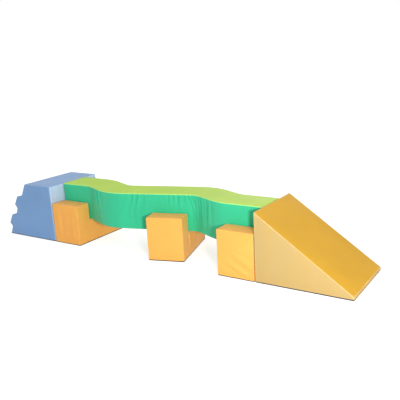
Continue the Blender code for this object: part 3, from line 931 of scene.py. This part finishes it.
def foam_block(node):
    """The foam under a cover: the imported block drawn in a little, its surface rough and its edges soft."""
    mesh = bpy.data.objects[node].data.copy()
    bm = bmesh.new()
    bm.from_mesh(mesh)
    bmesh.ops.remove_doubles(bm, verts=bm.verts, dist=WELD_TOLERANCE)
    piece = show(as_mesh(bm, mesh))
    cells = piece.modifiers.new("cells", "REMESH")
    cells.mode = "VOXEL"
    cells.voxel_size = FOAM_VOXEL
    mesh = evaluated_mesh(piece)
    points, outward = read(mesh, "position"), normals(mesh)
    relief = np.random.default_rng(len(points)).uniform(0.0, FOAM_RELIEF, len(points))
    move(mesh, points - outward * (FOAM_INSET + relief)[:, None])
    return mesh


# What repeats: Geometry Nodes

def new_tree(name, sizes):
    """A tree that takes a mesh and named sizes, and gives a mesh. It comes with its input sockets."""
    tree = bpy.data.node_groups.new(name, "GeometryNodeTree")
    tree.interface.new_socket("Mesh", in_out="INPUT", socket_type="NodeSocketGeometry")
    for size in sizes:
        tree.interface.new_socket(size, in_out="INPUT", socket_type="NodeSocketFloat")
    tree.interface.new_socket("Mesh", in_out="OUTPUT", socket_type="NodeSocketGeometry")
    return tree, add_node(tree, "NodeGroupInput").outputs


def add_node(tree, kind, inputs=None, **settings):
    """A node with its settings made and its inputs set or, where a socket is given, linked."""
    node = tree.nodes.new(kind)
    for name, value in settings.items():
        setattr(node, name, value)
    for name, value in (inputs or {}).items():
        if isinstance(value, bpy.types.NodeSocket):
            tree.links.new(value, node.inputs[name])
        else:
            node.inputs[name].default_value = value
    return node


def maths(tree, operation, first, *others):
    """The operation on the values, from first to last."""
    for other in others or (0.0,):
        first = add_node(tree, "ShaderNodeMath", {0: first, 1: other}, operation=operation).outputs[0]
    return first


def combine(tree, x, y, z):
    return add_node(tree, "ShaderNodeCombineXYZ", {"X": x, "Y": y, "Z": z}).outputs[0]


def on_points(tree, points, instance, **turn):
    inputs = {"Points": points, "Instance": instance, **turn}
    return add_node(tree, "GeometryNodeInstanceOnPoints", inputs).outputs[0]


def joined(tree, meshes):
    node = add_node(tree, "GeometryNodeJoinGeometry")
    for mesh in meshes:
        tree.links.new(mesh, node.inputs[0])
    return node.outputs[0]


def end_tree(tree, geometry, finish):
    """The tree's end: everything realised, in its finish."""
    real = add_node(tree, "GeometryNodeRealizeInstances", {"Geometry": geometry})
    dressed = add_node(tree, "GeometryNodeSetMaterial", {"Geometry": real.outputs[0], "Material": finish})
    tree.links.new(dressed.outputs[0], add_node(tree, "NodeGroupOutput").inputs[0])


def grown(mesh, tree, sizes):
    """The mesh after the tree, with the tree's inputs set."""
    piece = show(mesh)
    nodes = piece.modifiers.new("growth", "NODES")
    nodes.node_group = tree
    for item in tree.interface.items_tree:
        if item.in_out == "INPUT" and item.name in sizes:
            nodes[item.identifier] = sizes[item.name]
    return evaluated_mesh(piece)


def stitching_tree(finish):
    """Stitches along every edge chain of the mesh."""
    tree, given = new_tree("stitching", ("Pitch", "Length", "Thickness"))
    seam = add_node(tree, "GeometryNodeMeshToCurve", {"Mesh": given["Mesh"]}).outputs[0]
    pitch = {"Curve": seam, "Length": given["Pitch"]}
    holes = add_node(tree, "GeometryNodeCurveToPoints", pitch, mode="LENGTH").outputs
    round_form = {"Segments": 6, "Rings": 4, "Radius": 0.5}
    ball = add_node(tree, "GeometryNodeMeshUVSphere", round_form).outputs["Mesh"]
    size = combine(tree, given["Thickness"], given["Thickness"], given["Length"])
    stitch = add_node(tree, "GeometryNodeTransform", {"Geometry": ball, "Scale": size}).outputs[0]
    end_tree(tree, on_points(tree, holes["Points"], stitch, Rotation=holes["Rotation"]), finish)
    return tree


def zip_chain_tree(finish):
    """Two rows of moulded teeth along x on a zip's tape, with a channel between them."""
    sizes = ("Start", "Run", "Pitch", "Tooth length", "Tooth radius", "Channel", "Height")
    tree, given = new_tree("zip_chain", sizes)
    count = maths(tree, "FLOOR", maths(tree, "DIVIDE", given["Run"], given["Pitch"]))
    tooth = add_node(tree, "GeometryNodeMeshCylinder", {
        "Vertices": 8, "Radius": given["Tooth radius"], "Depth": given["Tooth length"],
    }).outputs["Mesh"]
    half = maths(tree, "MULTIPLY", maths(tree, "ADD", given["Tooth length"], given["Channel"]), 0.5)
    rows = [given["Mesh"]]
    for side, shift in ((1.0, 0.0), (-1.0, 0.5)):
        first = maths(tree, "ADD", given["Start"], maths(tree, "MULTIPLY", given["Pitch"], shift))
        start = combine(tree, first, given["Height"], maths(tree, "MULTIPLY", half, side))
        step = combine(tree, given["Pitch"], 0.0, 0.0)
        line = {"Count": count, "Start Location": start, "Offset": step}
        rows.append(on_points(tree, add_node(tree, "GeometryNodeMeshLine", line).outputs[0], tooth))
    end_tree(tree, joined(tree, rows), finish)
    return tree


def stud_tree(finish):
    """Low round studs in a grid beneath a sole, which keep it from sliding."""
    tree, given = new_tree("studs", ("Length", "Depth", "Pitch", "Radius", "Height"))
    counts = [maths(tree, "FLOOR", maths(tree, "DIVIDE", given[way], given["Pitch"]))
              for way in ("Length", "Depth")]
    grid = add_node(tree, "GeometryNodeMeshGrid", {
        "Size X": given["Length"], "Size Y": given["Depth"], "Vertices X": counts[0], "Vertices Y": counts[1],
    })
    foot = maths(tree, "MULTIPLY", given["Radius"], STUD_TAPER)
    stud = add_node(tree, "GeometryNodeMeshCone", {
        "Vertices": 8, "Radius Top": given["Radius"], "Radius Bottom": foot, "Depth": given["Height"],
    })
    placed = on_points(tree, grid.outputs["Mesh"], stud.outputs["Mesh"])
    end_tree(tree, joined(tree, (given["Mesh"], placed)), finish)
    return tree


def add_box(bm, middle, size):
    place = Matrix.Translation(middle) @ Matrix.Diagonal((*size, 1.0))
    return bmesh.ops.create_cube(bm, size=1.0, matrix=place)["verts"]


def sole(length, tree):
    """A module's non-slip sole, about its middle: a thin sheet with studs."""
    x_size, y_size = length - 2 * SOLE_INSET, MODULE_DEPTH - 2 * SOLE_INSET
    bm = bmesh.new()
    add_box(bm, (0, 0, SOLE_THICKNESS / 2), (x_size, y_size, SOLE_THICKNESS - STUD_HEIGHT))
    margin = 2 * STUD_PITCH
    return grown(as_mesh(bm), tree, {
        "Length": x_size - margin, "Depth": y_size - margin, "Pitch": STUD_PITCH,
        "Radius": STUD_RADIUS, "Height": STUD_HEIGHT,
    })


def zip_chain(length, panel_thickness, tree):
    """A zip: its tape with the channel for the slider's post, its teeth, and a stop at each end."""
    behind = -(panel_thickness + REST_GAP)
    ends = (2 * ZIP_END, length - 2 * ZIP_END)
    channel = ((ends[0], -CHANNEL / 2), (ends[1], CHANNEL / 2))
    half = TAPE_WIDTH / 2
    outline = [(0.0, -half), (length, -half), (length, half), (0.0, half)]
    tape = slotted_sheet(outline, list(ends), [-CHANNEL / 2, CHANNEL / 2], channel, TAPE)
    to_panel = Matrix(((1, 0, 0, 0), (0, 0, 1, behind - TAPE), (0, -1, 0, 0), (0, 0, 0, 1)))
    tape.transform(to_panel)
    bm = bmesh.new()
    bm.from_mesh(tape)
    for middle in (1.5 * ZIP_END, length - 1.5 * ZIP_END):
        size = (STOP_LENGTH, 2 * TOOTH_RADIUS, STOP_WIDTH)
        stop = add_box(bm, (middle, behind + TOOTH_RADIUS, 0.0), size)
        edges = list({edge for vert in stop for edge in vert.link_edges})
        bmesh.ops.bevel(bm, geom=edges, offset=TOOTH_RADIUS / 3, segments=2, affect="EDGES", profile=0.5)
    return grown(as_mesh(bm, tape), tree, {
        "Start": 2 * ZIP_END + TOOTH_PITCH, "Run": ends[1] - ends[0] - 2 * TOOTH_PITCH, "Pitch": TOOTH_PITCH,
        "Tooth length": TOOTH_LENGTH, "Tooth radius": TOOTH_RADIUS, "Channel": CHANNEL,
        "Height": behind + TOOTH_RADIUS,
    })


def zip_stitches(length, tree):
    """A row of stitches beside each long edge of the slot, which hold the tape to the cover."""
    away = ZIP_SLOT / 2 + STITCH_AWAY
    ends = (ZIP_SLOT_END, length - ZIP_SLOT_END)
    verts = [(along, 0.0, side * away) for side in (-1, 1) for along in ends]
    rows = bpy.data.meshes.new("rows")
    rows.from_pydata(verts, [(0, 1), (2, 3)], [])
    return grown(rows, tree, {"Pitch": STITCH_PITCH, "Length": STITCH_LENGTH, "Thickness": STITCH_THICKNESS})


# Finishes

def new_finish(name, **constants):
    material = bpy.data.materials.new(name)
    material.use_nodes = True
    shader = material.node_tree.nodes["Principled BSDF"]
    for socket, value in constants.items():
        shader.inputs[socket.replace("_", " ")].default_value = value
    return material, material.node_tree, shader


def wire(tree, shader, **sockets):
    """Links each value to the shader's socket of that name."""
    for socket, value in sockets.items():
        tree.links.new(value, shader.inputs[socket.replace("_", " ")])


def object_place(tree):
    return add_node(tree, "ShaderNodeTexCoord").outputs["Object"]


def noise(tree, place, size, detail=2.0):
    """Noise with features of about the given size in metres, from 0 to 1."""
    inputs = {"Vector": place, "Scale": 1.0 / size, "Detail": detail}
    return add_node(tree, "ShaderNodeTexNoise", inputs).outputs["Fac"]


def cell_pattern(tree, place, per_metre, more=None, **settings):
    """The distance from the middle of each small cell."""
    inputs = {"Vector": place, "Scale": per_metre, **(more or {})}
    return add_node(tree, "ShaderNodeTexVoronoi", inputs, **settings).outputs["Distance"]


def remap(tree, value, new, old=NOISE_SPAN):
    """The value brought from the old span to the new one."""
    return add_node(tree, "ShaderNodeMapRange", {
        "Value": value, "From Min": old[0], "From Max": old[1], "To Min": new[0], "To Max": new[1],
    }).outputs["Result"]


def shaded(tree, colour, factor):
    """The colour made lighter or darker by the factor."""
    mix = add_node(tree, "ShaderNodeVectorMath", {0: colour, "Scale": factor}, operation="SCALE")
    return mix.outputs["Vector"]


def blended(tree, factor, first, second):
    inputs = {0: factor, 6: first, 7: (*second, 1.0)}
    return add_node(tree, "ShaderNodeMix", inputs, data_type="RGBA").outputs[2]


def bump(tree, height, distance, strength=1.0, below=None):
    inputs = {"Height": height, "Distance": distance, "Strength": strength}
    if below:
        inputs["Normal"] = below
    return add_node(tree, "ShaderNodeBump", inputs).outputs["Normal"]


def attribute(tree, name):
    return add_node(tree, "ShaderNodeAttribute", attribute_name=name).outputs["Fac"]


def weave_height(tree, place, pitch):
    """The faint scrim that shows through the coating: threads along x, y and z."""
    inputs = {"Vector": place, "Scale": WAVE_PER_METRE / pitch, "Distortion": 0.0}
    bands = [add_node(tree, "ShaderNodeTexWave", inputs, bands_direction=way).outputs["Fac"] for way in "XYZ"]
    return maths(tree, "MULTIPLY", maths(tree, "ADD", *bands), 1 / 3)


def fabric_tone(tree, place, mottle, cells, seam):
    """Cloudy and mottled, lighter on the grain's middles, and darker in the seams as painted shade in their
    grooves.
    """
    clouds = remap(tree, noise(tree, place, CLOUD_SIZE), (-0.045, 0.045))
    tone = maths(tree, "ADD", clouds, remap(tree, mottle, (0.975, 1.015)))
    grain = remap(tree, cells, (1.02, 0.95), (0.0, 0.8))
    # the seams darkened to 0.70: painted shade in their grooves
    return maths(tree, "MULTIPLY", tone, grain, remap(tree, seam, (1.0, 0.70), (0.0, 1.0)))


def painted_sheen_share(tree, place):
    """How much painted light a panel shows: its paler colour, painted on as sheen and highlight, in streaks
    from top to bottom.
    """
    squash = {"Vector": place, "Scale": (1.0, 1.0, STREAK_SQUASH)}
    streak_place = add_node(tree, "ShaderNodeMapping", squash).outputs["Vector"]
    streaks = remap(tree, noise(tree, streak_place, STREAK_WIDTH, detail=3.0), (0.80, 1.0))
    return maths(tree, "MULTIPLY", attribute(tree, "painted_light"), streaks)


def coated_fabric(name, colour, painted_light=None, edge=None, roughness=0.42, shine=0.45):
    """Soft coated fabric: a leathery grain over a faint scrim, cloudy colour, edges lightened as rubbed wear
    and painted highlight, seams darkened as painted shade.

    Panels with painted light are paler, as painted sheen and highlight, streaked from top to bottom, and a
    band round the foot has the sole's colour painted on as painted contact shadow.
    """
    material, tree, shader = new_finish(
        name, Sheen_Weight=0.05, Sheen_Roughness=0.5, Sheen_Tint=(1.0,) * 4, Specular_IOR_Level=shine,
    )
    place = object_place(tree)
    mottle = noise(tree, place, MOTTLE_SIZE, detail=3.0)
    cells = cell_pattern(tree, place, 1.0 / GRAIN_SIZE, {"Smoothness": 0.6}, feature="SMOOTH_F1")
    seam = attribute(tree, "seam")
    base = shaded(tree, colour, fabric_tone(tree, place, mottle, cells, seam))
    # the paler colour painted over some panels: painted sheen and highlight
    if painted_light:
        base = blended(tree, painted_sheen_share(tree, place), base, painted_light)
    # outward edges lightened in patches: rubbed wear, in a lighter colour that also paints the edges'
    # highlight
    scuffs = remap(tree, noise(tree, place, SCUFF_SIZE, detail=4.0), (0.0, 1.0), (0.52, 0.72))
    worn_and_highlit = maths(tree, "MULTIPLY", attribute(tree, "rub_and_highlight"), remap(tree, scuffs, (0.32, 0.60), (0.0, 1.0)))
    base = blended(tree, worn_and_highlit, base, edge or [channel * 0.75 + 0.22 for channel in colour])
    # the foot band in the sole's dark colour: painted contact shadow
    base = blended(tree, attribute(tree, "painted_foot_shadow"), base, SOLE_GREY)
    gloss = maths(
        tree, "ADD", remap(tree, mottle, (roughness - 0.03, roughness + 0.05)),
        remap(tree, noise(tree, place, SHINE_PATCH, detail=3.0), (-0.02, 0.05), (0.35, 0.7)),
        maths(tree, "MULTIPLY", maths(tree, "MAXIMUM", seam, worn_and_highlit), 0.18),
    )
    scrim = bump(tree, weave_height(tree, place, SCRIM_PITCH), distance=0.00004)
    grain = bump(tree, cells, distance=0.00022, strength=0.6, below=scrim)
    soft = bump(tree, noise(tree, place, SOFT_RELIEF), distance=0.0004, strength=0.5, below=grain)
    wire(tree, shader, Base_Color=base, Roughness=gloss, Normal=soft)
    return material


def open_cell_foam():
    material, tree, shader = new_finish("open_cell_foam", Specular_IOR_Level=0.15, Roughness=0.95)
    place = object_place(tree)
    pores = cell_pattern(tree, place, PORES_PER_METRE)
    age = remap(tree, noise(tree, place, FOAM_PATCH, detail=3.0), (0.9, 1.03))
    tone = maths(tree, "MULTIPLY", remap(tree, pores, (0.72, 1.05), (0.0, 0.7)), age)
    wire(tree, shader, Base_Color=shaded(tree, FOAM_CREAM, tone), Normal=bump(tree, pores, distance=0.0006))
    return material


def grip_sole():
    material, tree, shader = new_finish("grip_sole", Specular_IOR_Level=0.3)
    place = object_place(tree)
    dimples = cell_pattern(tree, place, DIMPLES_PER_METRE, {"Randomness": 0.15})
    dust = noise(tree, place, SCUFF_SIZE, detail=4.0)
    dusty = remap(tree, dust, (0.85, 1.5), (0.35, 0.7))
    tone = maths(tree, "MULTIPLY", remap(tree, dimples, (0.75, 1.2), (0.0, 0.7)), dusty)
    wire(tree, shader, Base_Color=shaded(tree, SOLE_GREY, tone), Roughness=remap(tree, dust, (0.68, 0.88)),
         Normal=bump(tree, dimples, distance=0.0004))
    return material


def ribbed_nylon():
    material, tree, shader = new_finish("zip_nylon", Sheen_Weight=0.1)
    place = object_place(tree)
    threads = weave_height(tree, place, NYLON_PITCH)
    fuzz = noise(tree, place, NYLON_FUZZ, detail=3.0)
    ribs = remap(tree, threads, (0.75, 1.3), (0.2, 0.8))
    tone = maths(tree, "MULTIPLY", ribs, remap(tree, fuzz, (0.85, 1.2)))
    wire(tree, shader, Base_Color=shaded(tree, NYLON_BLACK, tone), Roughness=remap(tree, fuzz, (0.45, 0.62)),
         Normal=bump(tree, threads, distance=0.0001))
    return material


def plated_zinc():
    material, tree, shader = new_finish("plated_zinc", Metallic=1.0)
    place = object_place(tree)
    cast = noise(tree, place, CAST_GRAIN, detail=4.0)
    rubbed = noise(tree, place, ZINC_RUB, detail=3.0)
    wire(tree, shader, Base_Color=shaded(tree, ZINC, remap(tree, rubbed, (0.88, 1.08))),
         Roughness=remap(tree, rubbed, (0.24, 0.42)), Normal=bump(tree, cast, distance=0.00005, strength=0.5))
    return material


# Camera, floor and light

def add_camera():
    turn, pitch, roll = (math.radians(angle) for angle in (CAMERA_AZIMUTH, CAMERA_PITCH, CAMERA_ROLL))
    forward = Vector((-math.sin(turn) * math.cos(pitch), math.cos(turn) * math.cos(pitch), -math.sin(pitch)))
    level_right = Vector((math.cos(turn), math.sin(turn), 0.0))
    level_up = level_right.cross(forward)
    right = level_right * math.cos(roll) + level_up * math.sin(roll)
    up = level_up * math.cos(roll) - level_right * math.sin(roll)
    camera = bpy.data.objects.new("camera", bpy.data.cameras.new("camera"))
    camera.data.sensor_width = SENSOR_WIDTH
    camera.data.lens = FOCAL_LENGTH * SENSOR_WIDTH / PICTURE_SIZE
    facing = Matrix((right, up, -forward)).transposed().to_4x4()
    camera.matrix_world = Matrix.Translation(CAMERA_PLACE) @ facing
    bpy.context.scene.collection.objects.link(camera)
    bpy.context.scene.camera = camera


def add_panel_light(name, place, target, size, power, in_gloss):
    light = bpy.data.lights.new(name, "AREA")
    light.shape = "RECTANGLE"
    light.size, light.size_y = size
    light.energy = power
    lamp = bpy.data.objects.new(name, light)
    lamp.location = place
    lamp.visible_glossy = in_gloss
    lamp.rotation_euler = (Vector(target) - Vector(place)).to_track_quat("-Z", "Y").to_euler()
    bpy.context.scene.collection.objects.link(lamp)


def seen_directly(tree):
    """1 for what the camera sees, itself or in a mirror or through glass, and 0 for light on the object."""
    path = add_node(tree, "ShaderNodeLightPath")
    seen = maths(tree, "MAXIMUM", path.outputs["Is Camera Ray"], path.outputs["Is Glossy Ray"])
    return maths(tree, "MAXIMUM", seen, path.outputs["Is Transmission Ray"])


def add_world():
    world = bpy.data.worlds.new("studio")
    world.use_nodes = True
    tree = world.node_tree
    sky = tree.nodes["Background"]
    sky.inputs["Color"].default_value = (1.0, 1.0, 1.0, 1.0)
    wire(tree, sky, Strength=remap(tree, seen_directly(tree), (ROOM_LIGHT, 1.0), (0.0, 1.0)))
    bpy.context.scene.world = world


def add_floor():
    """A white floor, which the camera sees a little brighter than it is lit, so that only shadow shows."""
    mesh = bpy.data.meshes.new("floor")
    corners = [(x * FLOOR_REACH, y * FLOOR_REACH, 0) for x, y in ((-1, -1), (1, -1), (1, 1), (-1, 1))]
    mesh.from_pydata(corners, [], [(0, 1, 2, 3)])
    material, tree, shader = new_finish(
        "floor", Roughness=0.9, Specular_IOR_Level=0.0, Base_Color=(FLOOR_WHITE,) * 3 + (1.0,),
        Emission_Color=(1.0,) * 4,
    )
    wire(tree, shader, Emission_Strength=maths(tree, "MULTIPLY", seen_directly(tree), FLOOR_LIFT))
    mesh.materials.append(material)
    show(mesh, "floor")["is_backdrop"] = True


# Making the row

finishes = {
    "blue_vinyl": coated_fabric("blue_coated_fabric", BLUE, PAINTED_SHEEN_BLUE),
    "orange_vinyl": coated_fabric("orange_coated_fabric", ORANGE, edge=ORANGE_RUB_HIGHLIGHT, shine=0.10),
    "yellow_vinyl": coated_fabric("yellow_coated_fabric", YELLOW, PAINTED_SHEEN_YELLOW, YELLOW_RUB_HIGHLIGHT, shine=0.09),
    "green_vinyl": coated_fabric("green_coated_fabric", GREEN, LIME_PAINTED_HIGHLIGHT, roughness=0.37, shine=0.18),
    "lime_vinyl": coated_fabric("lime_coated_fabric", LIME, edge=LIME_RUB_HIGHLIGHT, roughness=0.58, shine=0.10),
    "sole": grip_sole(),
    "foam": open_cell_foam(),
    "zip_nylon": ribbed_nylon(),
    "zip_metal": plated_zinc(),
}
stitching = stitching_tree(finishes["zip_nylon"])
chain = zip_chain_tree(finishes["zip_nylon"])
studs = stud_tree(finishes["sole"])


def add_piece(name, mesh, place, body, node, slot):
    """A finished piece in its place in the row. It rides on its body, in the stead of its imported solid."""
    mesh.name = name
    mesh.transform(place)
    mesh.materials.clear()
    mesh.materials.append(finishes[slot])
    mesh.shade_smooth()
    mesh.update()
    piece = show(mesh, name)
    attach(piece, body)
    if node:
        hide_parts(node)


def furnish(body):
    """What every module has: foam, a zip with its stitches, and the slider and pull in their metal."""
    core = f"{body}_core"
    add_piece(f"{core}_foam", foam_block(core), Matrix.Identity(4), body, core, "foam")
    place, length = zip_place(body)
    teeth = zip_chain(length, SOLE_THICKNESS if body == "beam" else COVER, chain)
    add_piece(f"{body}_zip_chain", teeth, place, body, f"{body}_zip", "zip_nylon")
    add_piece(f"{body}_zip_stitches", zip_stitches(length, stitching), place, body, None, "zip_nylon")
    for node in (f"{body}_zip_slider", f"{body}_zip_pull"):
        for slot in bpy.data.objects[node].material_slots:
            slot.material = finishes["zip_metal"]


def add_module(body, length, cover_of, fabric, seed, **details):
    place = module_place(body, length)
    cover = take_part(cover_of(zip_slot(body, place), seed, **details), KEPT)
    add_piece(f"{body}_cover_fabric", cover, place, body, f"{body}_cover", fabric)
    middle = place @ Matrix.Translation((length / 2, MODULE_DEPTH / 2, 0.0))
    add_piece(f"{body}_sole_sheet", sole(length, studs), middle, body, f"{body}_sole", "sole")
    furnish(body)


def add_beam():
    place = beam_place()
    cover = beam_cover(BEAM_SEED)
    for name, mesh, node, fabric in (
        ("beam_side_fabric", take_part(cover, KEPT), "beam_side_cover", "green_vinyl"),
        ("beam_top_fabric", take_part(cover, TOP_PANEL), "beam_top_panel", "lime_vinyl"),
        ("beam_underside_sheet", beam_underside(place), "beam_underside", "green_vinyl"),
    ):
        add_piece(name, mesh, place, "beam", node, fabric)
    furnish("beam")


add_module("climber", CLIMBER_LENGTH, climber_cover, "blue_vinyl", CLIMBER_SEED)
for saddle, seed, front_creases, side_creases in SADDLES:
    add_module(saddle, SADDLE_LENGTH, saddle_cover, "orange_vinyl", seed,
               front_creases=front_creases, side_creases=side_creases)
add_module("ramp", RAMP_LENGTH, ramp_cover, "yellow_vinyl", RAMP_SEED)
add_beam()
add_camera()
add_world()
add_floor()
for light in LIGHTS:
    add_panel_light(*light)
bpy.context.scene.view_settings.view_transform = "Standard"

boxes = {"cad": cad_box, "visual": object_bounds()}
{name: [list(map(float, corner)) for corner in box] for name, box in boxes.items()}
